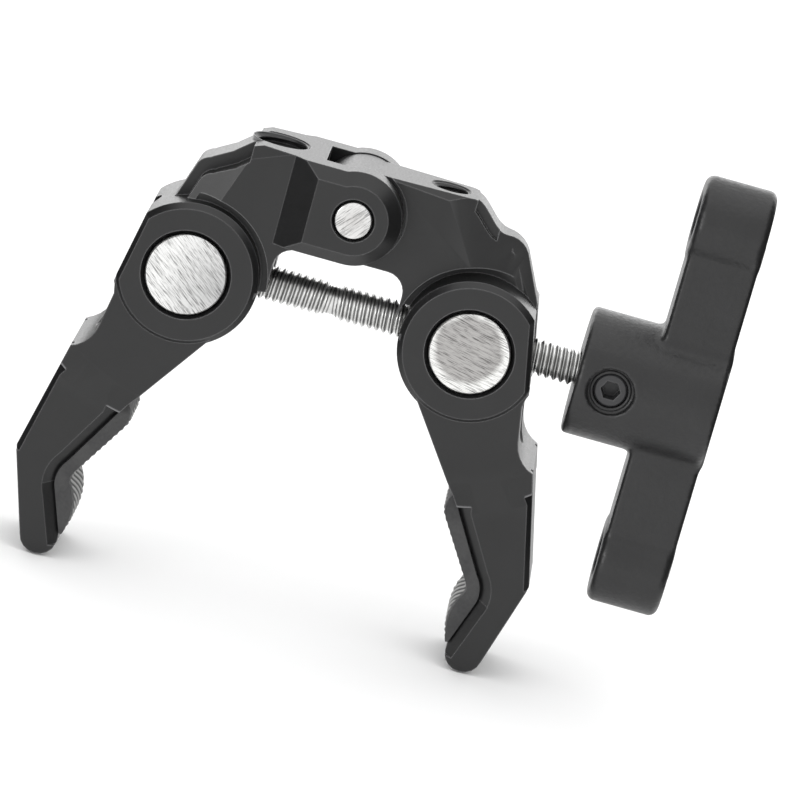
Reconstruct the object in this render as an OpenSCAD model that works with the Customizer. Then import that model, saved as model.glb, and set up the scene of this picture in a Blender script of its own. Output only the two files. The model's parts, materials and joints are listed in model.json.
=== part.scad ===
// Two-jaw super clamp: two machined halves on a hinge pin, drawn together by a
// double-handed screw that runs through a cross barrel nut in each half.
// Frame: +X towards the handle, +Y across the jaws, +Z up, standing on the jaw tips.
// Outlines are drawn about the hinge axis and moved into that frame at the end.

/* [Hinge] */
// Diameter of the hinge pin
pin_d = 6.4; // [6:0.1:6.6]
// Half the width of the slot between the two ears
slot_half = 6.2; // [6:0.1:6.4]
// Thickness of each thrust washer beside the tongue
washer_t = 0.4; // [0.3:0.1:0.5]
// Half the distance across the outer faces of the ears
ear_half = 12.6; // [11.6:0.1:13]
// Height of the top face above the hinge axis
top_z = 7.6; // [7.5:0.1:7.9]

/* [Barrel nuts] */
// Distance of each nut axis from the middle plane
nut_x = 25.1; // [24.8:0.1:25.4]
// Depth of the nut axes below the hinge axis
nut_z = 17.2; // [17:0.1:17.4]
// Diameter of a barrel nut
nut_d = 14; // [13.6:0.1:14.2]
// Half the length of a barrel nut, which is flush with its ring
nut_half = 11.4; // [11:0.1:11.6]

/* [Screw and handle] */
// Major diameter of the screw thread, 1/4 inch
rod_d = 6.35; // [6.2:0.05:6.4]
// Plain relief between the left-hand and the right-hand thread
relief_len = 1.7; // [1:0.1:2.5]
// Distance from the middle plane to the face of the handle hub
hub_x = 43.8; // [42:0.1:46]
// Diameter of the handle hub
hub_d = 22.5; // [22:0.1:23]
// Distance from the screw to each end of the handle bar
bar_reach = 39; // [37:0.2:41]
// Thickness of the handle bar along the screw
bar_t = 12.3; // [11.5:0.1:13]

/* [Jaws] */
// Half the width of the upper arm, across the jaws
arm_half = 10.8; // [10.4:0.1:11]
// Half the width of the jaw below the conical step
jaw_half = 8.8; // [8.4:0.1:9.2]
// Half the width of a rubber pad
pad_half = 7.9; // [7.4:0.1:8.2]

/* [Hidden] */
$fn = 64;

jaw_corner = [46, -55.1];       // widest point of a jaw, from the hinge axis
jaw_tip = [38.3, -69.7];        // centre of the rounded jaw tip
tip_r = 3.3;
hub_end = 68.7;                  // outer face of the hub and of the bar

// Place of the hinge axis in the clamp's own frame: the clamp is centred in X
// and stands on its jaw tips
hinge_x = (jaw_corner.x - hub_end) / 2;
hinge_z = tip_r - jaw_tip.y;

black = [0.07, 0.07, 0.075];
steel = [0.72, 0.71, 0.69];
rubber = [0.25, 0.25, 0.26];

reach = 60;             // longer than any cut has to go
run = 0.05;             // radial running clearance of a shaft
face_gap = 0.05;        // clearance on each face of a thrust washer

// Hinge: ears on the left half, tongue on the right half
ear_r = 8.2;
ear_bevel = [2.2, 2]; // down the face, and across the width
ear_bottom = -8.2;
ramp_out = 12.3;        // the ramp from link to ear starts here ...
ramp_in = 7.5;          // ... and ends here
slot_end = 7.2;
tongue_r = 8;
tongue_half = slot_half - washer_t - 2 * face_gap;
knuckle_gap = 0.5;

// Links
left_link_half = 9.3;
right_link_half = 6.1;
link_bottom = -8.4;
link_inner = 11.3;

// Ring boss around each nut
ring_r = 12.5;
ring_bevel = 1;
flat_x = nut_x + 11.5;
groove_r = 13.8;
seat_bevel = [2, 1.6];  // along the inner edge of a jaw: into the face, down the side
mouth_bevel = [0.75, 1.4];  // across the face, and into the bore
rim_bevel = 0.2;        // on the ends of the pin and the barrel nuts

// Slot that lets the screw tilt in a half
rod_slot = 8.6;
slot_up = 9.6;
slot_down = 15.5;
inner_up = 5;
inner_down = 11.5;

// Screw ends
thread_left = -33.8;
thread_right = 63;      // the screw ends here inside the hub
tip_d = 3.6;            // reduced tip that carries the stop washer
rivet_d = 5.2;
rivet_t = 0.7;
stop_washer_d = 8.2;
stop_washer_t = 0.8;

// Handle
lobe_r = 8;
neck_half = 5.8;
recess_d = 8.6;
recess_depth = 8;
set_screw_x = 50;
set_screw_d = 6;
set_screw_top = 9.3;
set_screw_well = 8.3;
set_screw_hex = 3;
rod_flat = 2.6;         // distance of the clamping flat from the screw axis

// Threaded holes in the top face
big_hole_x = 15.7;
small_hole_x = 14.5;
big_hole_d = 9.53;
small_hole_d = 6.35;
hole_depth = 10;
hole_mouth = 0.45;

// Conical step between the upper arm and the jaw, as radii about the nut
step_in = 22.9;
step_out = 28.9;

nut_c = [nut_x, -nut_z];

// ---- helpers ----

// Extrudes an outline drawn as X, Z points to the given half width
module plate(half) {
    rotate([90, 0, 0])
        linear_extrude(height = 2 * half, center = true)
            children();
}

// Turns a half section drawn as radius, Y points about an axis along Y
module turned(points) {
    rotate([90, 0, 0])
        rotate_extrude($fn = 96)
            polygon(points);
}

// Disc along Y with both rims chamfered
module rimmed_disc(r, half, bevel) {
    turned([
        [0, -half], [r - bevel, -half], [r, -half + bevel],
        [r, half - bevel], [r - bevel, half], [0, half]
    ]);
}

// Straight round bar along Y, and one along X that starts at x
module bar_y(r, half) {
    rotate([90, 0, 0])
        cylinder(r = r, h = 2 * half, center = true);
}
module bar_x(r, x, len) {
    translate([x, 0, 0])
        rotate([0, 90, 0])
            cylinder(r = r, h = len);
}

// Places its children on the nut axis of the right half
module at_nut() {
    translate([nut_x, 0, -nut_z])
        children();
}

// Does a thing on the near side and again on the far side
module both_sides() {
    children();
    mirror([0, 1, 0])
        children();
}

// Half space beyond a plane through a point, on the side its normal points to
module beyond(point, normal) {
    translate(point)
        rotate([0, acos(normal.z / norm(normal)), atan2(normal.y, normal.x)])
            translate([-reach, -reach, 0])
                cube(2 * reach);
}

// Bevels the edge of a plate from p to q: w into the face, d down the side.
// The material lies to the left of the way from p to q.
module edge_bevel(p, q, half, w, d) {
    run_on = 0.6;
    over = 0.5;
    way = q - p;
    slope = d / w;
    both_sides()
        translate([p.x, 0, p.y])
            rotate([0, -atan2(way.y, way.x), 0])
                rotate([0, 0, 180])
                    rotate([0, -90, 0])
                        translate([0, 0, -run_on])
                            linear_extrude(height = norm(way) + 2 * run_on)
                                polygon([
                                    [-over, half - d - over * slope],
                                    [w + over, half + over * slope],
                                    [-over, half + over * slope]
                                ]);
}

// Points of a smooth step from p to q, level at both ends
function ease(p, q, n) = [
    for (i = [0 : n])
        let (t = i / n)
        [p.x + (q.x - p.x) * t, p.y + (q.y - p.y) * (1 - cos(180 * t)) / 2]
];

// Points on an arc about c from angle a to angle b
function arc(c, r, a, b, n) = [
    for (i = [0 : n])
        let (t = a + (b - a) * i / n)
        c + r * [cos(t), sin(t)]
];

// ---- outlines of the right half, as X, Z about the hinge axis ----

// The outer flank leans in from flank_end up to flank_top
flank_top = [34, -7.4];
flank_end = -20.4;

right_crest = concat(
    ease([18.8, top_z], [26, 2.8], 10),
    arc([26.2, -1.9], 4.7, 80, 30, 4),
    [flank_top, [flat_x, flank_end]]
);
left_crest = concat(
    [[18, top_z], [20, top_z - 0.75], [22.5, 4.75]],
    arc([24.2, 5.9], 2, 220, 245, 3),
    [[26, 2.55]],
    arc([25.7, -0.8], 3.1, 75, 30, 4),
    [[30.5, -5.6], [32.8, -9], [flat_x, flank_end]]
);

module link_outline(inner_end, crest) {
    polygon(concat(
        [[inner_end, link_bottom], [inner_end, top_z]],
        crest,
        [[nut_x, flank_end], [link_inner, -nut_z]],
        arc([link_inner - 3.4, link_bottom - 3.4], 3.4, 0, 90, 6)
    ));
}

seat_top = [29.1, -42.6];

arm = concat(
    [[flat_x - 0.6, -nut_z], [flat_x, flank_end], [flat_x, -21.6], [36.2, -23.8]],
    arc([43.2, -29.1], 6, 190, 250, 5),
    [jaw_corner],
    arc(jaw_tip, tip_r, -10, -170, 8)
);

seat_foot = [35.1, -68.6];
seat_c = [32.6, -59.2];         // centre of the rounded bottom of the V
seat_r = 5.5;
seat_arc = arc(seat_c, seat_r, -12, 40, 5);
seat = concat([seat_foot], seat_arc, [seat_top]);

module arm_outline() {
    polygon(concat(arm, seat, [[18.7, -27.8], [14.4, -21.8], [12.6, -nut_z]]));
}

// ---- the two halves ----

// Ring boss, conical step and jaw, which both halves share
module ring_and_arm() {
    at_nut()
        rimmed_disc(ring_r, nut_half, ring_bevel);
    plate(jaw_half)
        arm_outline();
    intersection() {
        plate(arm_half)
            arm_outline();
        at_nut()
            turned([
                [0, -arm_half], [step_in, -arm_half], [step_out, -jaw_half],
                [step_out, jaw_half], [step_in, arm_half], [0, arm_half]
            ]);
    }
}

// Slot along X with round ends, from x over len, between two heights
module milled_slot(x, len, low, high) {
    r = rod_slot / 2;
    for (z = [low + r, high - r])
        translate([x, 0, z])
            rotate([0, 90, 0])
                cylinder(r = r, h = len);
    translate([x, -r, low + r])
        cube([len, 2 * r, high - low - 2 * r]);
}

// Everything that is cut from a half after its parts are joined
module half_cuts() {
    at_nut() {
        bar_y(nut_d / 2 + run, reach);
        both_sides()
            translate([0, -nut_half - 0.01, 0])
                rotate([-90, 0, 0])
                    cylinder(r1 = nut_d / 2 + run + mouth_bevel.x, r2 = nut_d / 2 + run,
                             h = mouth_bevel.y);
        milled_slot(0, reach, -slot_down, slot_up);
        milled_slot(-15, 15, -inner_down, inner_up);
    }
    plate(reach)
        polygon([
            [flat_x, flank_end], flank_top, flank_top + (flank_top - [flat_x, flank_end]),
            [reach, 2 * top_z], [reach, -21.6], [flat_x, -21.6]
        ]);
    edge_bevel([flat_x, flank_end], flank_top, nut_half, 0.8, 0.8);
    edge_bevel(jaw_corner, [41.3, -35], jaw_half, 0.9, 0.9);
    edge_bevel(seat_top, seat_arc[5], jaw_half, seat_bevel.x, seat_bevel.y);
    edge_bevel(seat_arc[0], seat_foot - [0.4, 1.2], jaw_half, seat_bevel.x, seat_bevel.y);
    both_sides()
        translate([seat_c.x, -jaw_half - 0.5, seat_c.y])
            rotate([-90, 0, 0])
                cylinder(r1 = seat_r + seat_bevel.x * (1 + 0.5 / seat_bevel.y),
                         r2 = seat_r - seat_bevel.x * 0.3 / seat_bevel.y,
                         h = seat_bevel.y + 0.8);
}

// Annular groove around the ring, cut from the link only
module ring_groove(floor_half) {
    at_nut()
        both_sides()
            translate([0, -floor_half - reach / 2, 0])
                bar_y(groove_r, reach / 2);
}

// Threaded hole in the top face with a small countersink
module top_hole(x, d) {
    translate([x, 0, top_z]) {
        translate([0, 0, -hole_depth])
            cylinder(d = d, h = hole_depth + 1);
        translate([0, 0, -hole_mouth])
            cylinder(r1 = d / 2, r2 = d / 2 + 2 * hole_mouth, h = 2 * hole_mouth);
    }
}

// Rebate along the crest from one X to another, floor at the given half width
module crest_rebate(crest, from, to, width, half) {
    under_crest = concat(crest, [[0, -nut_z], [0, top_z]]);
    both_sides()
        intersection() {
            translate([0, -half - reach / 2, 0])
                plate(reach / 2)
                    difference() {
                        polygon(under_crest);
                        translate([-width * 0.75, -width])
                            polygon(under_crest);
                    }
            translate([from, -reach, -reach])
                cube([to - from, reach, 2 * reach]);
        }
}

// Link of the right half, thinned to a tongue between the ears
module right_link() {
    difference() {
        plate(right_link_half)
            link_outline(0, right_crest);
        ring_groove(3.3);
        both_sides() {
            translate([0, -tongue_half - reach / 2, 0])
                bar_y(ear_r + knuckle_gap, reach / 2);
            beyond([5, -5.7, top_z], [0.045, -0.6, 0.62]);
            beyond([16.4, -right_link_half, 4], [0.7, -1.9, 0.45]);
        }
        crest_rebate(right_crest, 19.5, 24.4, 1.4, 3);
        crest_rebate(right_crest, 27.4, 36, 1.8, 2.8);
    }
    bar_y(tongue_r, tongue_half);
}

module right_half() {
    difference() {
        union() {
            right_link();
            ring_and_arm();
        }
        half_cuts();
        bar_y(pin_d / 2 + run, reach);
        top_hole(small_hole_x, small_hole_d);
    }
}

// Both ears as one bevelled bar with a round end, before the slot is cut
module ears() {
    edge = ear_half - ear_bevel.y;
    turned([
        [0, -ear_half], [ear_r - ear_bevel.x, -ear_half], [ear_r, -edge],
        [ear_r, edge], [ear_r - ear_bevel.x, ear_half], [0, ear_half]
    ]);
    rotate([90, 0, 90])
        linear_extrude(height = ramp_out + 2)
            polygon([
                [-edge, ear_bottom], [-ear_half, ear_bottom + ear_bevel.x],
                [-ear_half, top_z - ear_bevel.x], [-edge, top_z],
                [edge, top_z], [ear_half, top_z - ear_bevel.x],
                [ear_half, ear_bottom + ear_bevel.x], [edge, ear_bottom]
            ]);
}

// Link of the left half, drawn on the right-hand side: it is mirrored later
module left_link() {
    difference() {
        plate(left_link_half)
            link_outline(4, left_crest);
        ring_groove(7.6);
        both_sides() {
            beyond([ramp_out + 0.4, -left_link_half, top_z], [0.12, -0.6, 0.3]);
            beyond([20, -left_link_half, 4], [1.2, -2.8, 0.42]);
        }
        crest_rebate(left_crest, 19.6, 36, 1.8, 4);
    }
    difference() {
        ears();
        both_sides()
            beyond([ramp_in, -ear_half, 0], [ear_half - left_link_half, ramp_in - ramp_out, 0]);
    }
}

module left_half() {
    mirror([1, 0, 0])
        difference() {
            union() {
                left_link();
                ring_and_arm();
            }
            half_cuts();
            plate(slot_half) {
                translate([-reach, -reach])
                    square([reach + slot_end, 2 * reach]);
                circle(r = tongue_r + knuckle_gap);
            }
            bar_y(pin_d / 2, reach);
            both_sides()
                translate([0, -ear_half - 0.01, 0])
                    rotate([-90, 0, 0])
                        cylinder(r1 = pin_d / 2 + mouth_bevel.x * 0.7, r2 = pin_d / 2,
                                 h = mouth_bevel.y * 0.7);
            top_hole(big_hole_x, big_hole_d);
        }
}

// Rubber pad of the right half
module pad() {
    back = -0.02;
    plate(pad_half)
        translate([back, 0])
            polygon(concat(
                seat,
                [[28.6, -43.6], [28.5, -46.3]],
                arc([32.6, -59.2], 3.1, 40, 5, 3),
                arc([43.4, -64.6], 9.3, 158, 190, 6),
                [[34.5, -68.6]]
            ));
}

// Cross barrel nut of the right half
module barrel_nut() {
    difference() {
        at_nut()
            rimmed_disc(nut_d / 2, nut_half, rim_bevel);
        translate([0, 0, -nut_z])
            bar_x(rod_d / 2 + run, 0, reach);
    }
}

// Thrust washer on the near side of the tongue
module thrust_washer() {
    translate([0, -tongue_half - face_gap - washer_t / 2, 0])
        difference() {
            bar_y(6, washer_t / 2);
            bar_y(pin_d / 2 + run, washer_t);
        }
}

// Disc along X from x0 to x1 with both rims rounded
module soft_disc(r, x0, x1, round) {
    translate([x0, 0, 0])
        rotate([90, 0, 90])
            rotate_extrude($fn = 96)
                polygon(concat(
                    [[0, 0]],
                    arc([r - round, round], round, -90, 0, 5),
                    arc([r - round, x1 - x0 - round], round, 0, 90, 5),
                    [[0, x1 - x0]]
                ));
}

module screw_shape() {
    washer_room = stop_washer_t + 2 * face_gap;
    difference() {
        union() {
            bar_x(rod_d / 2, thread_left, -thread_left - relief_len / 2);
            bar_x(rod_d / 2 - 0.45, -relief_len / 2 - 0.1, relief_len + 0.2);
            bar_x(rod_d / 2, relief_len / 2, thread_right - relief_len / 2);
            bar_x(tip_d / 2, thread_left - washer_room - 0.1, washer_room + 0.2);
            bar_x(rivet_d / 2, thread_left - washer_room - rivet_t, rivet_t);
        }
        translate([set_screw_x - 4, -reach - rod_flat, -reach / 2])
            cube([8, reach, reach]);
    }
}

module handle_shape() {
    difference() {
        union() {
            soft_disc(hub_d / 2, hub_x, hub_end, 1.8);
            for (side = [-1, 1])
                translate([0, 0, side * (bar_reach - lobe_r)])
                    soft_disc(lobe_r, hub_end - bar_t, hub_end, 2);
            translate([hub_end - bar_t, -neck_half, lobe_r - bar_reach])
                cube([bar_t, 2 * neck_half, 2 * (bar_reach - lobe_r)]);
        }
        bar_x(rod_d / 2 + run, hub_x - 1, thread_right - hub_x + 1.4);
        for (side = [-1, 1])
            translate([0, 0, side * (bar_reach - lobe_r)])
                bar_x(recess_d / 2, hub_end - bar_t - 1, 1 + recess_depth);
        translate([set_screw_x, 0, 0])
            rotate([90, 0, 0]) {
                cylinder(d = set_screw_d, h = reach);
                translate([0, 0, set_screw_top])
                    cylinder(d = set_screw_well, h = reach);
            }
    }
}

module set_screw_shape() {
    length = set_screw_top - rod_flat;
    translate([set_screw_x, -rod_flat, 0])
        rotate([90, 0, 0])
            difference() {
                union() {
                    cylinder(d = set_screw_d - 0.04, h = length - 0.4);
                    translate([0, 0, length - 0.4])
                        cylinder(d1 = set_screw_d - 0.04, d2 = set_screw_d - 0.8, h = 0.4);
                }
                translate([0, 0, length - 3])
                    cylinder(d = set_screw_hex / cos(30), h = 4, $fn = 6);
            }
}

// ---- the pieces, in the clamp's own frame ----

module placed() {
    translate([hinge_x, 0, hinge_z])
        children();
}
module on_screw_axis() {
    translate([hinge_x, 0, hinge_z - nut_z])
        children();
}

module left_body() { color(black) placed() left_half(); }
module right_body() { color(black) placed() right_half(); }
module hinge_pin() { color(steel) placed() rimmed_disc(pin_d / 2, ear_half, rim_bevel); }
module hinge_washer_front() { color("ivory") placed() thrust_washer(); }
module hinge_washer_back() { color("ivory") placed() mirror([0, 1, 0]) thrust_washer(); }
module left_pad() { color(rubber) placed() mirror([1, 0, 0]) pad(); }
module right_pad() { color(rubber) placed() pad(); }
module left_barrel_nut() { color(steel) placed() mirror([1, 0, 0]) barrel_nut(); }
module right_barrel_nut() { color(steel) placed() barrel_nut(); }
module rod_stop_washer() {
    color(steel)
        on_screw_axis()
            difference() {
                bar_x(stop_washer_d / 2, thread_left - face_gap - stop_washer_t, stop_washer_t);
                bar_x(tip_d / 2 + run, thread_left - 2, 3);
            }
}
module threaded_rod() { color(steel) on_screw_axis() screw_shape(); }
module t_handle() { color(black) on_screw_axis() handle_shape(); }
module handle_set_screw() { color(black) on_screw_axis() set_screw_shape(); }

left_body();
right_body();
hinge_pin();
hinge_washer_front();
hinge_washer_back();
left_pad();
right_pad();
left_barrel_nut();
right_barrel_nut();
rod_stop_washer();
threaded_rod();
t_handle();
handle_set_screw();
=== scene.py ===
"""Looks of a two-jaw lighting clamp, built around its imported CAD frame.

Lengths marked _MM, and every array of shape points, are millimetres; MM turns them into metres.
Places come from the frame: the hinge pin, the barrel nuts, the screw and the handle.
"""
import json
import math

import bmesh
import bpy
import numpy as np
from mathutils import Matrix, Vector

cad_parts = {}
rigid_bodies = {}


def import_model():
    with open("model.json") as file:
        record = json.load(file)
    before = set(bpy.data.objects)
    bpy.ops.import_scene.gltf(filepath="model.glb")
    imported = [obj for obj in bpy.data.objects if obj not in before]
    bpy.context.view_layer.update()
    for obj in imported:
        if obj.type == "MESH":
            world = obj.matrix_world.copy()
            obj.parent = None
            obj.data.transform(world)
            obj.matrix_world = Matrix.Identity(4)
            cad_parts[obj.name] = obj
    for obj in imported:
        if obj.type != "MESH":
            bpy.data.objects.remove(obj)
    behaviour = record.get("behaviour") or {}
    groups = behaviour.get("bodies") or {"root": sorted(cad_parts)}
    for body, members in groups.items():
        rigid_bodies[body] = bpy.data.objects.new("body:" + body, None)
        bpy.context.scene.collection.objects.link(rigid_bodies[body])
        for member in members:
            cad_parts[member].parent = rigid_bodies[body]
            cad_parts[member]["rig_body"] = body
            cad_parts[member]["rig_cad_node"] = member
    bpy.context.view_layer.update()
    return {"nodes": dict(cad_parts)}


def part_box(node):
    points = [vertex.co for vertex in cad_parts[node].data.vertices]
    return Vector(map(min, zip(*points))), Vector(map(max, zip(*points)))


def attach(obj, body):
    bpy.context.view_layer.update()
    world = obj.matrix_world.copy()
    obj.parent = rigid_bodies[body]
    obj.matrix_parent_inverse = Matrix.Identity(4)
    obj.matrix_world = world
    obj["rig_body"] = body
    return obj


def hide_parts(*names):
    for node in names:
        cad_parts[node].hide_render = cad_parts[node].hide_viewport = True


MM = 0.001

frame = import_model()


def middle(cad_node):
    """Centre of a CAD node's box, in millimetres."""
    lo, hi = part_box(cad_node)
    return np.array((lo + hi) / 2) / MM


HINGE = middle("hinge_pin")
SCREW = middle("threaded_rod")
LEFT_NUT = middle("left_barrel_nut")
RIGHT_NUT = middle("right_barrel_nut")
SET_SCREW = middle("handle_set_screw")

# Nominal sizes of the standard threads, and where the two sockets sit and how deep they are
ROD_R_MM = 3.175
ROD_PITCH_MM = 1.27
BIG_SOCKET_R_MM = 4.765
BIG_SOCKET_PITCH_MM = 1.5875
SMALL_SOCKET_R_MM = 3.175
BIG_SOCKET_X_MM = 15.7
SMALL_SOCKET_X_MM = 14.5
SOCKET_DEPTH_MM = 9.4


# ---- meshes from numpy arrays ----

def mesh_piece(name, points_mm, faces):
    """A mesh object from points in millimetres and a list of faces."""
    mesh = bpy.data.meshes.new(name)
    mesh.from_pydata((np.asarray(points_mm) * MM).tolist(), [], [list(map(int, f)) for f in faces])
    mesh.validate()
    mesh.shade_smooth()
    piece = bpy.data.objects.new(name, mesh)
    bpy.context.scene.collection.objects.link(piece)
    return piece


def face_outwards(piece):
    """Recalculates a closed mesh's normals so that its faces point outwards."""
    work = bmesh.new()
    work.from_mesh(piece.data)
    bmesh.ops.recalc_face_normals(work, faces=work.faces)
    work.to_mesh(piece.data)
    work.free()
    return piece


def grid_faces(rows, columns, rows_close=False):
    """Quads of a grid of points whose columns close on themselves, and its rows too if asked."""
    last = rows if rows_close else rows - 1
    r, c = np.meshgrid(np.arange(last), np.arange(columns), indexing="ij")
    r1, c1 = (r + 1) % rows, (c + 1) % columns
    corners = [r * columns + c, r1 * columns + c, r1 * columns + c1, r * columns + c1]
    return np.stack(corners, -1).reshape(-1, 4).tolist()


def capped(rows, columns):
    """Grid faces with one polygon across each open end."""
    first = list(range(columns))[::-1]
    final = list(range((rows - 1) * columns, rows * columns))
    return grid_faces(rows, columns) + [first, final]


def thread_wave(turns):
    """Depth of a thread's profile, 0 on the crest and 1 in the root: a triangle wave of the
    turn count with a narrow flat on the crest and on the root."""
    crest_flat, flank_rise = 0.14, 0.66
    triangle = 1 - 2 * np.abs(turns - np.floor(turns) - 0.5)
    return np.clip((triangle - crest_flat) / flank_rise, 0, 1)


# ---- the screw ----

def threaded_screw():
    """The screw along X as radius over place and angle: rivet head and tip on the left, a
    left-hand thread, a plain relief, a right-hand thread. A thread's depth is thread_wave of
    x / pitch plus or minus angle / full turn, and it runs out towards the thread's ends. The
    attribute flank is 1 halfway down the thread's flanks and 0 on its crests and roots."""
    depth = 0.46 * ROD_PITCH_MM
    relief_half, relief_r = 0.85, ROD_R_MM - 0.7
    lo, hi = (np.array(v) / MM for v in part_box("threaded_rod"))
    mid = HINGE[0]
    around = 40
    angle = np.linspace(0, 2 * math.pi, around, endpoint=False)
    rivet_r, rivet_end, tip_r, tip_end = 2.6, lo[0] + 0.7, 1.8, lo[0] + 1.6
    head = [(lo[0], rivet_r - 0.3), (lo[0] + 0.25, rivet_r), (rivet_end, rivet_r),
            (rivet_end, tip_r), (tip_end, tip_r)]
    x = np.arange(tip_end + 0.001, hi[0], ROD_PITCH_MM / 15)
    place, turn = np.meshgrid(x, angle / (2 * math.pi), indexing="ij")
    hand = np.where(place < mid, 1.0, -1.0)
    wave = thread_wave((place - mid) / ROD_PITCH_MM + hand * turn)
    from_relief = np.abs(place - mid) - relief_half
    run_out_slope, below_root = 0.9, 0.1
    chamfer = np.minimum(place - tip_end, from_relief) * run_out_slope
    full = ROD_R_MM - depth * wave
    start = ROD_R_MM - depth - below_root
    radius = np.where(from_relief < 0, relief_r, np.minimum(full, start + np.maximum(chamfer, 0)))
    radius = np.where(from_relief < 0, radius, np.maximum(radius, start))
    rows_x = np.concatenate([[p[0] for p in head], x])
    rows_r = np.concatenate([np.repeat([[p[1]] for p in head], around, 1), radius])
    points = np.stack([
        np.repeat(rows_x[:, None], around, 1),
        rows_r * np.cos(angle),
        SCREW[2] + rows_r * np.sin(angle),
    ], -1).reshape(-1, 3)
    # flank attribute, which the thread steel uses to paint shade on the flanks
    flanks = np.concatenate([np.zeros((len(head), around)), 4 * wave * (1 - wave)])
    screw = mesh_piece("screw_with_two_threads", points, capped(len(rows_x), around))
    marks = screw.data.attributes.new("flank", "FLOAT", "POINT")
    marks.data.foreach_set("value", flanks.ravel())
    return face_outwards(screw)


def socket_thread(name, x, radius, pitch):
    """Thread in a socket, as a closed sleeve: its inner wall is the socket's radius less the
    thread's depth, which follows thread_wave of z / pitch plus angle / full turn, and its outer
    wall lies inside the body."""
    depth = 0.5 * pitch
    around = 56
    below_face, proud, into_body = 0.75, 0.02, 0.2
    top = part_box("left_body")[1].z / MM - below_face
    z = np.arange(top - SOCKET_DEPTH_MM, top, pitch / 12)
    angle = np.linspace(0, 2 * math.pi, around, endpoint=False)
    place, turn = np.meshgrid(z, angle / (2 * math.pi), indexing="ij")
    wave = thread_wave((place - top) / pitch + turn)
    run_out = np.clip((top - place) / (0.5 * pitch), 0, 1)
    inner = radius + proud - depth * (1 - wave) * run_out
    outer_r = radius + into_body
    rows_r = np.concatenate([[np.full(around, outer_r)], inner, [np.full(around, outer_r)]])
    rows_z = np.concatenate([[z[0]], z, [z[-1]]])
    points = np.stack([
        x + rows_r * np.cos(angle),
        rows_r * np.sin(angle),
        np.repeat(rows_z[:, None], around, 1),
    ], -1).reshape(-1, 3)
    return face_outwards(mesh_piece(name, points, grid_faces(len(rows_r), around, True)))


# ---- the cast handle, as distances to its surface ----

def smooth_join(a, b, blend):
    """Union of two distance fields with a fillet of about the given size."""
    h = np.clip(0.5 + 0.5 * (b - a) / blend, 0, 1)
    return b + (a - b) * h - blend * h * (1 - h)


def smooth_cut(a, b, blend):
    """Distance field a with b cut away, its rim rounded by about the given size."""
    return -smooth_join(-a, b, blend)


def rounded(qs, edge):
    """Distance to a shape given by its distances past each wall, with rounded edges."""
    outside = np.sqrt(sum(np.maximum(q + edge, 0) ** 2 for q in qs))
    inside = np.minimum(np.maximum.reduce([q + edge for q in qs]), 0)
    return outside + inside - edge


def disc_field(x, y, z, x0, x1, radius, edge):
    """Distance to a round disc along X with rounded rims."""
    return rounded([np.hypot(y, z) - radius, np.abs(x - (x0 + x1) / 2) - (x1 - x0) / 2], edge)


def surface_net(field, origin, step):
    """Quads of a distance field's zero level: a vertex in each cell that the level crosses, at the
    mean of its edge crossings, and a quad across each crossed edge, all as whole arrays."""
    cells = np.array(field.shape) - 1
    total, hits, quads = np.zeros((*cells, 3)), np.zeros(cells), []
    for axis in range(3):
        second, third = (axis + 1) % 3, (axis + 2) % 3
        a = np.take(field, np.arange(cells[axis]), axis)
        b = np.take(field, np.arange(1, cells[axis] + 1), axis)
        crossed = (a < 0) != (b < 0)
        corner = np.argwhere(crossed)
        point = corner.astype(float)
        point[:, axis] += a[crossed] / (a[crossed] - b[crossed])
        ring = []
        for d2, d3 in ((0, 0), (-1, 0), (-1, -1), (0, -1)):
            cell = corner.copy()
            cell[:, second] += d2
            cell[:, third] += d3
            np.add.at(total, tuple(cell.T), point)
            np.add.at(hits, tuple(cell.T), 1)
            ring.append(np.ravel_multi_index(tuple(cell.T), tuple(cells)))
        ring = np.stack(ring, 1)
        outwards = a[crossed] < 0
        quads.append(np.where(outwards[:, None], ring, ring[:, ::-1]))
    used, faces = np.unique(np.concatenate(quads), return_inverse=True)
    points = total.reshape(-1, 3)[used] / hits.reshape(-1)[used][:, None]
    return origin + points * step, faces.reshape(-1, 4)


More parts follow.
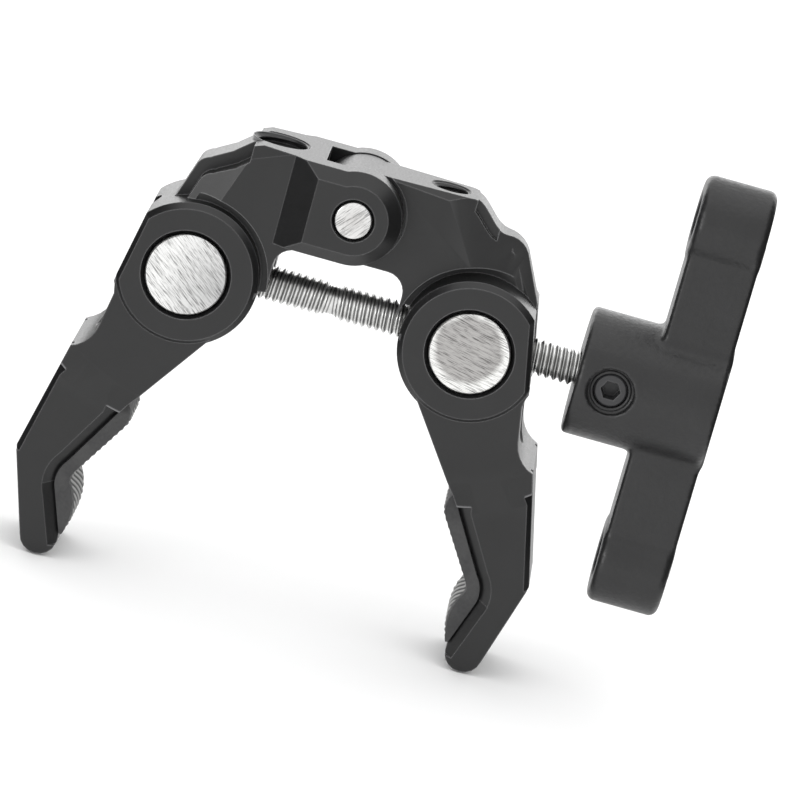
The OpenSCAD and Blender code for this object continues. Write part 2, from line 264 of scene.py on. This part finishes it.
def cast_handle():
    """T-handle: a round hub, two necks and two pierced lobes joined with casting fillets."""
    lo, hi = (np.array(v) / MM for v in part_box("t_handle"))
    step = 0.34
    axes = [np.arange(lo[i] - 3 * step, hi[i] + 3.5 * step, step) for i in range(3)]
    x, y, z = np.meshgrid(*axes, indexing="ij")
    z = z - SCREW[2]
    hub_r = (hi[1] - lo[1]) / 2
    reach = (hi[2] - lo[2]) / 2
    lobe_r, neck_half, bar_t = 7.9, 5.9, 12.3
    hub_edge, neck_edge, lobe_edge = 0.9, 0.9, 1.5
    lobe_fillet, hub_fillet = 0.6, 1.4
    recess_r, recess_depth, recess_edge, recess_fillet = 4.3, 8, 0.8, 1.0
    bore_r, bore_short = 3.25, 6.1
    tapped_r, counterbore_r = 3.02, 4.1
    bar_end = hi[0]
    bar_start = bar_end - bar_t
    lobe_z = reach - lobe_r
    hub = disc_field(x, y, z, lo[0], hi[0], hub_r, hub_edge)
    neck = rounded([
        np.abs(x - (bar_start + bar_end) / 2) - bar_t / 2,
        np.abs(y) - neck_half,
        np.abs(z) - lobe_z,
    ], neck_edge)
    lobes = disc_field(x, y, np.abs(z) - lobe_z, bar_start - 0.3, bar_end, lobe_r, lobe_edge)
    body = smooth_join(smooth_join(neck, lobes, lobe_fillet), hub, hub_fillet)
    recess = disc_field(x, y, np.abs(z) - lobe_z,
                        bar_start - 6, bar_start + recess_depth, recess_r, recess_edge)
    body = smooth_cut(body, recess, recess_fillet)
    bore = np.maximum(np.hypot(y, z) - bore_r, x - (hi[0] - bore_short))
    body = smooth_cut(body, bore, 0.5)
    across = np.hypot(x - SET_SCREW[0], z)
    seat_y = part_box("handle_set_screw")[0].y / MM
    screw_hole = np.maximum(across - tapped_r, y)
    counterbore = np.maximum(across - counterbore_r, y - seat_y)
    body = smooth_cut(smooth_cut(body, screw_hole, 0.2), counterbore, 0.35)
    origin = np.array([axis[0] for axis in axes])
    points, faces = surface_net(body, origin, step)
    return mesh_piece("cast_t_handle", points, faces)


def set_screw_collar():
    """First turn of the tapped hole around the set screw, a low ring with a rounded top: a small
    circle carried around the hole's axis."""
    seat_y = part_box("handle_set_screw")[0].y / MM
    ring_r, wire_r = 3.32, 0.3
    around, wire = 64, 12
    a = np.linspace(0, 2 * math.pi, around, endpoint=False)[:, None]
    b = np.linspace(0, 2 * math.pi, wire, endpoint=False)[None, :]
    r = ring_r + wire_r * np.cos(b)
    points = np.stack([
        SET_SCREW[0] + r * np.cos(a),
        seat_y - 0.02 + 0.8 * wire_r * np.sin(b) + 0 * a,
        SCREW[2] + r * np.sin(a),
    ], -1).reshape(-1, 3)
    return face_outwards(mesh_piece("set_screw_collar", points, grid_faces(around, wire, True)))


# ---- rubber pads ----

def arc(centre, radius, start, end, count):
    """Points on an arc, angles in degrees."""
    t = np.radians(np.linspace(start, end, count))
    return np.stack([centre[0] + radius * np.cos(t), centre[1] + radius * np.sin(t)], -1)


def evenly(points, spacing):
    """A polyline's points again, at an even spacing along it."""
    run = np.concatenate([[0], np.cumsum(np.hypot(*np.diff(points, axis=0).T))])
    s = np.linspace(0, run[-1], max(2, round(run[-1] / spacing) + 1))
    return np.stack([np.interp(s, run, points[:, i]) for i in range(2)], -1), s


def softened(points, width):
    """An open line of points averaged along itself, its two ends kept."""
    bell = np.exp(-0.5 * (np.arange(-3 * width, 3 * width + 1) / width) ** 2)
    bell /= bell.sum()
    padded = np.concatenate([
        2 * points[0] - points[3 * width:0:-1],
        points,
        2 * points[-1] - points[-2:-3 * width - 2:-1],
    ])
    return np.stack([np.convolve(padded[:, i], bell, "valid") for i in range(2)], -1)


def rubber_pad(name, side):
    """A pad carried across the jaw: its outline runs up the seat and down the gripping face, in
    X and Z about the hinge. The gripping face has slanting ribs, a sine of the distance along it
    less part of the distance across, which fade out at the pad's edges. The attribute rib is 1 on a
    rib's crest."""
    seat = np.concatenate([[[35.1, -68.6]], arc((32.6, -59.2), 5.45, -12, 40, 12), [[29.1, -42.7]]])
    grip = np.concatenate([
        [[28.5, -43.4], [28.2, -46.2]],
        arc((32.6, -59.4), 3.3, 38, 6, 5),
        arc((43.4, -64.6), 9.5, 156, 190, 9),
        [[34.5, -68.7]],
    ])
    seat, _ = evenly(seat, 0.4)
    grip, along = evenly(grip, 0.2)
    grip = softened(grip, 4)
    half = (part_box(name)[1].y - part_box(name)[0].y) / 2 / MM
    across = np.linspace(-half, half, 96)
    tangent = np.gradient(grip, axis=0)
    tangent /= np.hypot(*tangent.T)[:, None]
    out = np.stack([tangent[:, 1], -tangent[:, 0]], -1)
    pitch, height, rim = 1.35, 0.32, 1.5
    slant, crown_height, crown_reach = 0.55, 0.12, 0.5
    s, y = np.meshgrid(along, across, indexing="ij")
    edge = np.minimum(np.minimum(s, along[-1] - s), half - np.abs(y))
    fade = np.clip(edge / rim - 0.3, 0, 1)
    ribs = height * fade * (0.5 + 0.5 * np.cos(2 * math.pi * (s - slant * y) / pitch))
    crown = crown_height * np.clip(1 - edge / crown_reach, 0, 1) ** 2
    lift = (ribs - crown)[..., None]
    grip_rows = np.broadcast_to(grip[:, None], (*s.shape, 2)) + lift * out[:, None]
    seat_rows = np.broadcast_to(seat[:, None], (len(seat), len(across), 2))
    outline = np.concatenate([seat_rows, grip_rows])
    rows, columns = outline.shape[:2]
    points = np.stack([
        HINGE[0] + side * outline[..., 0],
        np.broadcast_to(across, (rows, columns)),
        HINGE[2] + outline[..., 1],
    ], -1).reshape(-1, 3)
    r, c = np.meshgrid(np.arange(rows), np.arange(columns - 1), indexing="ij")
    r1 = (r + 1) % rows
    quads = np.stack([r * columns + c, r1 * columns + c,
                      r1 * columns + c + 1, r * columns + c + 1], -1)
    ends = [[i * columns + end for i in range(rows)] for end in (0, columns - 1)]
    piece = mesh_piece(name + "_ribbed", points, quads.reshape(-1, 4).tolist() + ends)
    # rib crest mask, which the rubber uses to paint a highlight on the crests
    crests = np.concatenate([np.zeros((len(seat), columns)), ribs / height])
    marks = piece.data.attributes.new("rib", "FLOAT", "POINT")
    marks.data.foreach_set("value", crests.ravel())
    triangulate_flat(piece)
    face_outwards(piece)
    piece.data.set_sharp_from_angle(angle=math.radians(38))
    return piece


def triangulate_flat(piece):
    """Splits a piece's many-sided end faces into triangles that follow their outline."""
    work = bmesh.new()
    work.from_mesh(piece.data)
    many = [f for f in work.faces if len(f.verts) > 4]
    bmesh.ops.triangulate(work, faces=many, ngon_method="EAR_CLIP")
    work.to_mesh(piece.data)
    work.free()


# ---- machined pieces: merged copies of their CAD nodes with bevelled edges ----

SHARP_DEG = 24
FLAT_DEG = 0.6
WELD_M = 2e-6


def machined(cad_node, name, edge_mm):
    """A merged copy of a CAD node with its flat faces joined up and its edges bevelled."""
    piece = frame["nodes"][cad_node].copy()
    piece.data = piece.data.copy()
    piece.name = name
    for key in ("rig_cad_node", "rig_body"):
        del piece[key]
    piece.parent = None
    bpy.context.scene.collection.objects.link(piece)
    work = bmesh.new()
    work.from_mesh(piece.data)
    bmesh.ops.remove_doubles(work, verts=work.verts, dist=WELD_M)
    bmesh.ops.dissolve_limit(work, angle_limit=math.radians(FLAT_DEG),
                             verts=work.verts, edges=work.edges)
    work.to_mesh(piece.data)
    work.free()
    own_normals = piece.data.attributes.get("custom_normal")
    if own_normals:
        piece.data.attributes.remove(own_normals)
    piece.data.set_sharp_from_angle(angle=math.radians(SHARP_DEG))
    bevel = piece.modifiers.new("edge", "BEVEL")
    bevel.width = edge_mm * MM
    bevel.segments = 2
    bevel.limit_method = "ANGLE"
    bevel.angle_limit = math.radians(SHARP_DEG)
    bevel.harden_normals = True
    bevel.use_clamp_overlap = True
    return piece


# ---- shader groups shared by the materials ----

def new_group(name, inputs, outputs):
    """A shader node group with named float inputs and outputs, and its two end nodes."""
    group = bpy.data.node_groups.new(name, "ShaderNodeTree")
    for label, kind, value in inputs:
        socket = group.interface.new_socket(label, in_out="INPUT", socket_type=kind)
        socket.default_value = value
    for label, kind in outputs:
        group.interface.new_socket(label, in_out="OUTPUT", socket_type=kind)
    return group, group.nodes.new("NodeGroupInput"), group.nodes.new("NodeGroupOutput")


def node(tree, kind, links=(), **settings):
    """A node with its settings; links are (input name or index, output socket or value)."""
    made = tree.nodes.new(kind)
    for key, value in settings.items():
        setattr(made, key, value)
    for where, what in links:
        if isinstance(what, bpy.types.NodeSocket):
            tree.links.new(what, made.inputs[where])
        else:
            made.inputs[where].default_value = what
    return made


def grain_group():
    """Fine grain: a mask of two sizes of noise in Object coordinates, 0 to 1."""
    group, start, end = new_group(
        "fine_grain",
        [("Size", "NodeSocketFloat", 2500.0), ("Patches", "NodeSocketFloat", 120.0)],
        [("Grain", "NodeSocketFloat"), ("Cloud", "NodeSocketFloat")])
    place = node(group, "ShaderNodeTexCoord")
    fine = node(group, "ShaderNodeTexNoise", [
        ("Vector", place.outputs["Object"]), ("Scale", start.outputs["Size"]), ("Detail", 3.0)])
    cloud = node(group, "ShaderNodeTexNoise", [
        ("Vector", place.outputs["Object"]), ("Scale", start.outputs["Patches"]), ("Detail", 4.0)])
    group.links.new(fine.outputs["Fac"], end.inputs["Grain"])
    group.links.new(cloud.outputs["Fac"], end.inputs["Cloud"])
    return group


def edge_group():
    """Painted edge highlight: 1 where a rounded copy of the surface turns away from the real one.
    """
    group, start, end = new_group(
        "painted_edge_highlight",
        [("Radius", "NodeSocketFloat", 0.0004), ("Breakup", "NodeSocketFloat", 0.5)],
        [("Edge", "NodeSocketFloat")])
    geometry = node(group, "ShaderNodeNewGeometry")
    soft = node(group, "ShaderNodeBevel", [("Radius", start.outputs["Radius"])], samples=4)
    same = node(group, "ShaderNodeVectorMath", [
        (0, soft.outputs["Normal"]), (1, geometry.outputs["True Normal"])], operation="DOT_PRODUCT")
    turned = node(group, "ShaderNodeMapRange", [
        ("Value", same.outputs["Value"]), ("From Min", 0.99), ("From Max", 0.8),
        ("To Min", 0.0), ("To Max", 1.0)])
    painted_light = node(group, "ShaderNodeMath", [
        (0, turned.outputs["Result"]), (1, start.outputs["Breakup"])], operation="MULTIPLY")
    group.links.new(painted_light.outputs["Value"], end.inputs["Edge"])
    return group


def scratch_group():
    """Grinding scratches: noise stretched along one direction of the piece, turned about Y."""
    group, start, end = new_group(
        "ground_face",
        [("Turn", "NodeSocketFloat", 0.0), ("Fineness", "NodeSocketFloat", 1500.0)],
        [("Scratch", "NodeSocketFloat"), ("Band", "NodeSocketFloat")])
    place = node(group, "ShaderNodeTexCoord")
    turned = node(group, "ShaderNodeVectorRotate", [
        ("Vector", place.outputs["Object"]), ("Angle", start.outputs["Turn"])],
        rotation_type="Y_AXIS")
    outputs = []
    for along, scale in ((0.05, 1.0), (0.12, 0.16)):
        stretched = node(group, "ShaderNodeMapping", [
            ("Vector", turned.outputs["Vector"]), ("Scale", (along, 0.2, 1.0))])
        size = node(group, "ShaderNodeMath", [
            (0, start.outputs["Fineness"]), (1, scale)], operation="MULTIPLY")
        noise = node(group, "ShaderNodeTexNoise", [
            ("Vector", stretched.outputs["Vector"]), ("Scale", size.outputs["Value"]),
            ("Detail", 5.0), ("Roughness", 0.65)])
        outputs.append(noise.outputs["Fac"])
    group.links.new(outputs[0], end.inputs["Scratch"])
    group.links.new(outputs[1], end.inputs["Band"])
    return group


GRAIN = grain_group()
EDGE = edge_group()
SCRATCH = scratch_group()


def placed(tree, group, **values):
    """A shared group placed in a material with its own input values."""
    made = tree.nodes.new("ShaderNodeGroup")
    made.node_tree = group
    for label, value in values.items():
        made.inputs[label].default_value = value
    return made


def new_material(name, **surface):
    """A material's tree and its Principled shader, with plain values set on its sockets."""
    material = bpy.data.materials.new(name)
    material.use_nodes = True
    tree = material.node_tree
    shader = tree.nodes["Principled BSDF"]
    for label, value in surface.items():
        shader.inputs[label.replace("_", " ")].default_value = value
    return material, tree, shader


def span(tree, source, low, high, from_low=0.3, from_high=0.7):
    """A value mapped from one range to another."""
    return node(tree, "ShaderNodeMapRange", [
        ("Value", source), ("From Min", from_low), ("From Max", from_high),
        ("To Min", low), ("To Max", high)]).outputs["Result"]


def mixed(tree, factor, a, b):
    """Colour between a and b by a factor; either may be a socket."""
    made = node(tree, "ShaderNodeMix", [("Factor", factor)], data_type="RGBA")
    for socket, value in ((made.inputs[6], a), (made.inputs[7], b)):
        if isinstance(value, bpy.types.NodeSocket):
            tree.links.new(value, socket)
        else:
            socket.default_value = (*value, 1.0)
    return made.outputs[2]


def bumped(tree, shader, height, strength, distance):
    """Bump from a height that feeds the shader's normal."""
    bump = node(tree, "ShaderNodeBump", [
        ("Height", height), ("Strength", strength), ("Distance", distance)])
    tree.links.new(bump.outputs["Normal"], shader.inputs["Normal"])


def black_finish(name, base, edge, rough, grain_size, grain_height, edge_highlight):
    """Black coated metal: fine grain in height and sheen, cloudy tone, and a painted highlight, a
    lighter colour along the edges.
    """
    material, tree, shader = new_material(name, IOR=1.5)
    grain = placed(tree, GRAIN, Size=grain_size, Patches=160.0)
    painted_light = placed(tree, EDGE, Radius=0.00035, Breakup=edge_highlight)
    tone = mixed(tree, span(tree, grain.outputs["Cloud"], 0.0, 1.0),
                 tuple(c * 0.88 for c in base), tuple(c * 1.12 for c in base))
    # painted highlight: the lighter edge colour is mixed in along the edges
    colour = mixed(tree, painted_light.outputs["Edge"], tone, edge)
    tree.links.new(colour, shader.inputs["Base Color"])
    tree.links.new(span(tree, grain.outputs["Grain"], rough - 0.05, rough + 0.07),
                   shader.inputs["Roughness"])
    bumped(tree, shader, grain.outputs["Grain"], 0.5, grain_height)
    return material


def ground_steel(name, turn, tint, painted_shade_at, painted_shade_from, painted_shade_to, painted_shade_tint):
    """Bright steel with a ground face: directional scratches in tone, sheen and height, and a
    painted shade, a darker tint around a point of the face, which fades out between two radii in
    metres."""
    material, tree, shader = new_material(name, Metallic=1.0)
    lines = placed(tree, SCRATCH, Turn=turn, Fineness=8500.0)
    grain = placed(tree, GRAIN, Size=3000.0, Patches=260.0)
    place = node(tree, "ShaderNodeTexCoord")
    flat = node(tree, "ShaderNodeVectorMath", [
        (0, place.outputs["Object"]), (1, (1.0, 0.0, 1.0))], operation="MULTIPLY")
    away = node(tree, "ShaderNodeVectorMath", [
        (0, flat.outputs["Vector"]), (1, (painted_shade_at[0], 0.0, painted_shade_at[1]))], operation="DISTANCE")
    uneven = node(tree, "ShaderNodeMath", [
        (0, grain.outputs["Cloud"]), (1, 0.0016), (2, away.outputs["Value"])],
        operation="MULTIPLY_ADD")
    # painted shade: the colour turns to the darker tint near the given point, and noise makes its
    # rim uneven
    painted_light = span(tree, uneven.outputs["Value"], 1.0, 0.0, painted_shade_from, painted_shade_to)
    ground = mixed(tree, painted_light, tint, painted_shade_tint)
    dark = node(tree, "ShaderNodeMix", [
        ("Factor", span(tree, lines.outputs["Scratch"], 0.0, 1.0, 0.36, 0.52)),
        ("A", 0.25), ("B", 1.0)])
    colour = node(tree, "ShaderNodeVectorMath", [
        (0, ground), (1, dark.outputs["Result"])], operation="MULTIPLY")
    tree.links.new(colour.outputs["Vector"], shader.inputs["Base Color"])
    tree.links.new(span(tree, lines.outputs["Band"], 0.28, 0.42), shader.inputs["Roughness"])
    height = node(tree, "ShaderNodeMath", [
        (0, lines.outputs["Scratch"]), (1, grain.outputs["Grain"])], operation="ADD")
    bumped(tree, shader, height.outputs["Value"], 0.6, 0.00003)
    return material


def rolled_steel():
    """Zinc-plated thread: duller in patches, with painted shade on the thread's flanks, which
    leaves the crests and roots bright.
    """
    material, tree, shader = new_material("rolled_thread_steel", Metallic=1.0)
    grain = placed(tree, GRAIN, Size=2400.0, Patches=420.0)
    colour = mixed(tree, span(tree, grain.outputs["Cloud"], 0.0, 1.0),
                   (0.66, 0.66, 0.65), (0.85, 0.85, 0.84))
    flank = node(tree, "ShaderNodeAttribute", attribute_name="flank").outputs["Fac"]
    # painted shade: the thread's flanks are darkened by the flank attribute
    flank_shade = span(tree, flank, 0.0, 0.85, 0.3, 1.0)
    tree.links.new(mixed(tree, flank_shade, colour, (0.1, 0.1, 0.1)), shader.inputs["Base Color"])
    tree.links.new(span(tree, grain.outputs["Cloud"], 0.26, 0.42), shader.inputs["Roughness"])
    bumped(tree, shader, grain.outputs["Grain"], 0.35, 0.00002)
    return material


def moulded_rubber():
    """Grey-black rubber: matt, with a fine moulded texture, dusty patches, and a painted highlight
    in light grey on the rib crests.
    """
    material, tree, shader = new_material("moulded_rubber", IOR=1.5)
    grain = placed(tree, GRAIN, Size=1800.0, Patches=220.0)
    colour = mixed(tree, span(tree, grain.outputs["Cloud"], 0.0, 1.0),
                   (0.032, 0.032, 0.033), (0.052, 0.052, 0.052))
    rib = node(tree, "ShaderNodeAttribute", attribute_name="rib").outputs["Fac"]
    # painted highlight: the rib attribute turns the rib crests light grey
    rib_highlight = span(tree, rib, 0.0, 1.0, 0.3, 0.7)
    tree.links.new(mixed(tree, rib_highlight, colour, (0.3, 0.3, 0.295)), shader.inputs["Base Color"])
    tree.links.new(span(tree, grain.outputs["Grain"], 0.62, 0.8), shader.inputs["Roughness"])
    bumped(tree, shader, grain.outputs["Grain"], 0.6, 0.00004)
    return material


def natural_nylon():
    """Off-white nylon of the thrust washers."""
    material, tree, shader = new_material("natural_nylon", Subsurface_Weight=0.1)
    grain = placed(tree, GRAIN, Size=1500.0, Patches=300.0)
    colour = mixed(tree, span(tree, grain.outputs["Cloud"], 0.0, 1.0),
                   (0.62, 0.6, 0.54), (0.74, 0.72, 0.66))
    tree.links.new(colour, shader.inputs["Base Color"])
    tree.links.new(span(tree, grain.outputs["Grain"], 0.4, 0.55), shader.inputs["Roughness"])
    bumped(tree, shader, grain.outputs["Grain"], 0.3, 0.00002)
    return material


def dress(piece, material):
    """Gives a piece one material."""
    piece.data.materials.clear()
    piece.data.materials.append(material)
    return piece


# the second colour of each black finish is its painted edge highlight, and the last value is that
# highlight's strength
ANODISED = black_finish("black_anodised", (0.008, 0.008, 0.0083), (0.25, 0.25, 0.255),
                        0.34, 3200.0, 0.00001, 0.6)
CAST = black_finish("black_cast", (0.013, 0.013, 0.0135), (0.12, 0.12, 0.122),
                    0.38, 1300.0, 0.00016, 0.3)
BLACK_OXIDE = black_finish("black_oxide", (0.03, 0.03, 0.032), (0.2, 0.2, 0.2),
                           0.34, 2600.0, 0.00001, 0.5)
# each steel's last four values place its painted shade: the point, the two radii where it fades
# out, and its darker tint
LEFT_STEEL = ground_steel("ground_steel_left", math.radians(-38), (0.88, 0.88, 0.87),
                          (LEFT_NUT[0] * MM + 0.008, LEFT_NUT[2] * MM - 0.001),
                          0.002, 0.013, (0.5, 0.5, 0.5))
RIGHT_STEEL = ground_steel("ground_steel_right", math.radians(-12), (0.9, 0.9, 0.88),
                           (RIGHT_NUT[0] * MM - 0.0004, RIGHT_NUT[2] * MM + 0.0008),
                           0.0062, 0.0071, (0.46, 0.45, 0.44))
PIN_STEEL = ground_steel("ground_steel_pin", math.radians(50), (0.82, 0.82, 0.81),
                         (HINGE[0] * MM, HINGE[2] * MM), 0.001, 0.0045, (0.62, 0.61, 0.6))
ROD_STEEL = rolled_steel()
RUBBER = moulded_rubber()
NYLON = natural_nylon()


# ---- putting the pieces on their bodies ----

for node_name, shown_name, edge_mm, body, material, slot_name in (
    ("left_body", "left_half_machined", 0.22, "left_half", ANODISED, "black_anodised"),
    ("right_body", "right_half_machined", 0.22, "right_half", ANODISED, "black_anodised"),
    ("hinge_pin", "hinge_pin_ground", 0.12, "left_half", PIN_STEEL, "steel"),
    ("left_barrel_nut", "left_barrel_ground", 0.15, "left_nut", LEFT_STEEL, "steel"),
    ("right_barrel_nut", "right_barrel_ground", 0.15, "right_nut", RIGHT_STEEL, "steel"),
    ("rod_stop_washer", "rod_stop_washer_eased", 0.1, "rod_end", ROD_STEEL, "steel"),
    ("handle_set_screw", "set_screw_with_hex", 0.12, "screw", BLACK_OXIDE, "black_steel"),
):
    made = dress(machined(node_name, shown_name, edge_mm), material)
    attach(made, body)
    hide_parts(node_name)

for washer in ("hinge_washer_front", "hinge_washer_back"):
    dress(frame["nodes"][washer], NYLON)

screw = dress(threaded_screw(), ROD_STEEL)
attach(screw, "screw")
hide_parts("threaded_rod")

handle = dress(cast_handle(), CAST)
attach(handle, "screw")
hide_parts("t_handle")
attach(dress(set_screw_collar(), CAST), "screw")

for side, body in ((-1, "left_half"), (1, "right_half")):
    pad_node = "left_pad" if side < 0 else "right_pad"
    pad = dress(rubber_pad(pad_node, side), RUBBER)
    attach(pad, body)
    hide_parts(pad_node)

big = socket_thread("big_socket_thread", HINGE[0] - BIG_SOCKET_X_MM,
                    BIG_SOCKET_R_MM, BIG_SOCKET_PITCH_MM)
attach(dress(big, ANODISED), "left_half")
small = socket_thread("small_socket_thread", HINGE[0] + SMALL_SOCKET_X_MM,
                      SMALL_SOCKET_R_MM, ROD_PITCH_MM)
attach(dress(small, ANODISED), "right_half")


# ---- stage, light and camera ----

def stage_floor():
    """A plain pale floor."""
    material, _, shader = new_material("pale_floor", Roughness=0.9)
    shader.inputs["Base Color"].default_value = (0.93, 0.93, 0.93, 1.0)
    shader.inputs["Specular IOR Level"].default_value = 0.1
    mesh = bpy.data.meshes.new("floor")
    half = 12.0
    mesh.from_pydata([(-half, -half, 0), (half, -half, 0), (half, half, 0), (-half, half, 0)],
                     [], [(0, 1, 2, 3)])
    floor = bpy.data.objects.new("floor", mesh)
    bpy.context.scene.collection.objects.link(floor)
    floor.location.z = -0.0002
    mesh.materials.append(material)


def soft_light(name, place, target, size, power):
    """A large square soft light that faces the target."""
    light = bpy.data.lights.new(name, "AREA")
    light.shape = "RECTANGLE"
    light.size, light.size_y = size
    light.energy = power
    lamp = bpy.data.objects.new(name, light)
    lamp.location = place
    lamp.rotation_euler = (Vector(target) - Vector(place)).to_track_quat("-Z", "Y").to_euler()
    bpy.context.scene.collection.objects.link(lamp)
    return lamp


def studio_world(fill):
    """Even white studio. What the camera sees directly is plain white."""
    world = bpy.data.worlds.new("studio")
    bpy.context.scene.world = world
    world.use_nodes = True
    tree = world.node_tree
    seen = node(tree, "ShaderNodeLightPath")
    strength = node(tree, "ShaderNodeMix", [
        ("Factor", seen.outputs["Is Camera Ray"]), ("A", fill), ("B", 1.0)])
    tree.links.new(strength.outputs["Result"], tree.nodes["Background"].inputs["Strength"])
    tree.nodes["Background"].inputs["Color"].default_value = (1.0, 1.0, 1.0, 1.0)


def black_flag(name, foot_x, head_x, y_near, y_far, height):
    """A leaning black card beside the clamp that only reflections see, for dark bevels and
    ramps."""
    material, _, shader = new_material(name, Roughness=1.0)
    shader.inputs["Base Color"].default_value = (0.004, 0.004, 0.004, 1.0)
    shader.inputs["Specular IOR Level"].default_value = 0.0
    mesh = bpy.data.meshes.new(name)
    mesh.from_pydata([(foot_x, y_near, 0), (foot_x, y_far, 0),
                      (head_x, y_far, height), (head_x, y_near, height)], [], [(0, 1, 2, 3)])
    mesh.materials.append(material)
    card = bpy.data.objects.new(name, mesh)
    bpy.context.scene.collection.objects.link(card)
    card.visible_camera = False
    card.visible_diffuse = False
    card.visible_shadow = False


CAMERA_DISTANCE = 0.85
CAMERA_ELEVATION = math.radians(14.5)
CAMERA_ROLL = math.radians(15.62)
CAMERA_LENS = 220.7
LOOK_AT = Vector(HINGE * MM) + Vector((0.0158, 0, -0.03115))


def reference_camera():
    """Long-lens camera in front of the clamp, a little above it and rolled."""
    data = bpy.data.cameras.new("camera")
    data.lens = CAMERA_LENS
    data.sensor_width = 36
    data.clip_end = 50
    camera = bpy.data.objects.new("camera", data)
    forward = Vector((0, math.cos(CAMERA_ELEVATION), -math.sin(CAMERA_ELEVATION)))
    level_up = Vector((0, math.sin(CAMERA_ELEVATION), math.cos(CAMERA_ELEVATION)))
    right = Vector((math.cos(CAMERA_ROLL), 0, 0)) + level_up * math.sin(CAMERA_ROLL)
    up = Vector((-math.sin(CAMERA_ROLL), 0, 0)) + level_up * math.cos(CAMERA_ROLL)
    turn = Matrix((right, up, -forward)).transposed().to_4x4()
    camera.matrix_world = Matrix.Translation(LOOK_AT - forward * CAMERA_DISTANCE) @ turn
    bpy.context.scene.collection.objects.link(camera)
    bpy.context.scene.camera = camera


stage_floor()
studio_world(1.0)
soft_light("overhead", (0.0, 0.1, 1.3), (0, 0, 0), (2.4, 2.0), 7.0)
soft_light("behind", (0.0, 1.5, 0.45), (0, 0, 0.06), (3.0, 0.9), 12.0)
soft_light("front_left", (-0.9, -0.88, 0.2), (0, 0, 0.09), (0.45, 0.4), 4.0)
black_flag("left_flag", -0.1, -0.25, -0.12, 0.18, 0.4)
black_flag("right_flag", 0.12, 0.27, -0.12, 0.18, 0.4)
bpy.context.scene.view_settings.view_transform = "Standard"
reference_camera()
